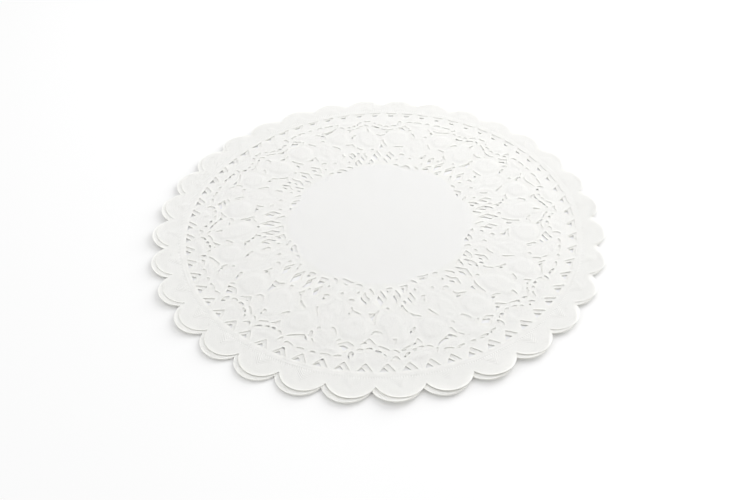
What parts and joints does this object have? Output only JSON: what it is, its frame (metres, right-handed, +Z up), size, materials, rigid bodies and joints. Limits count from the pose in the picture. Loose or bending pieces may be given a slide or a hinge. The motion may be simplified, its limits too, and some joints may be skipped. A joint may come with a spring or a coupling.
{
  "type": "paper doily stack",
  "caption": "Stack of round white paper lace doilies with scalloped rims, a ring of small triangular eyelets, a die-cut and embossed lace band and a plain centre.",
  "frame": {"origin": "centre of the stack's footprint, on the surface the bottom sheet lies on", "axes": "+Z up out of the stack, -Y towards the front, +X to the right seen from the front"},
  "size_m": [0.2557, 0.2559, 0.0009],
  "materials": {
    "lace_paper": "uncoated matt white paper, embossed"
  },
  "bodies": {
    "doily_1": {"doily_1_bottom": "lace_paper"},
    "doily_2": {"doily_2": "lace_paper"},
    "doily_3": {"doily_3": "lace_paper"},
    "doily_4": {"doily_4_top": "lace_paper"}
  },
  "joints": [
    {"name": "lift_doily_2", "type": "slide", "parent": "doily_1", "child": "doily_2", "axis": [0, 0, 1], "range_m": [0, 0.02]},
    {"name": "lift_doily_3", "type": "slide", "parent": "doily_2", "child": "doily_3", "axis": [0, 0, 1], "range_m": [0, 0.02]},
    {"name": "lift_doily_4", "type": "slide", "parent": "doily_3", "child": "doily_4", "axis": [0, 0, 1], "range_m": [0, 0.02]}
  ]
}
